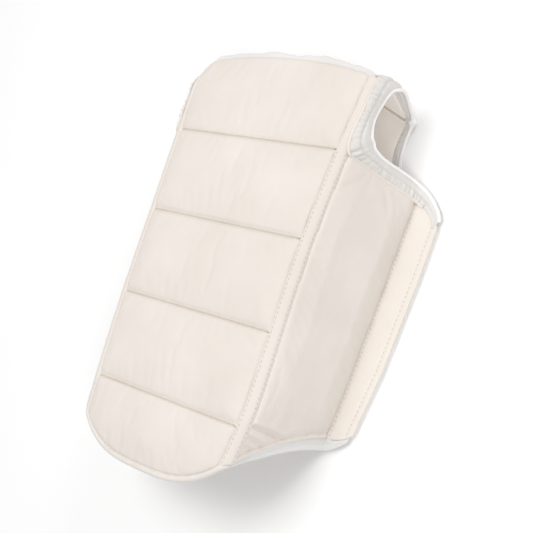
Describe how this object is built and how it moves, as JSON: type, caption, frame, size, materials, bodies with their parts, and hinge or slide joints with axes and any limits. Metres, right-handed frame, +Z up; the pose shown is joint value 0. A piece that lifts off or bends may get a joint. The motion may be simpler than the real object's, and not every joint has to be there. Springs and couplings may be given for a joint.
{
  "type": "karate chest protector",
  "caption": "Sleeveless padded cotton chest protector with quilted front segments, padded side wings and gathered white armhole trim, lying on its back.",
  "frame": {"origin": "middle of the footprint, on the surface that the protector lies on", "axes": "+X to the wearer's left side, +Y to the wearer's head, +Z up, out of the wearer's chest"},
  "size_m": [0.3698, 0.4542, 0.1095],
  "materials": {
    "cream_cotton": "smooth unbleached cotton over foam, matt",
    "white_trim": "bleached gathered elastic cotton, matt",
    "lining_cotton": "plain cotton inner side, matt"
  },
  "bodies": {
    "root": {"front_pad_1": "cream_cotton", "front_pad_2": "cream_cotton", "front_pad_3": "cream_cotton", "front_pad_4": "cream_cotton", "front_pad_5": "cream_cotton", "seam_tape_left": "cream_cotton", "side_pad_left": "cream_cotton", "side_flap_left": "cream_cotton", "arm_band_left": "white_trim", "arm_rim_left": "white_trim", "shoulder_strap_left": "lining_cotton", "seam_tape_right": "cream_cotton", "side_pad_right": "cream_cotton", "side_flap_right": "cream_cotton", "arm_band_right": "white_trim", "arm_rim_right": "white_trim", "shoulder_strap_right": "lining_cotton", "neck_band": "white_trim", "hem_band_left": "white_trim", "hem_band_right": "white_trim", "back_panel": "lining_cotton"}
  },
  "joints": []
}
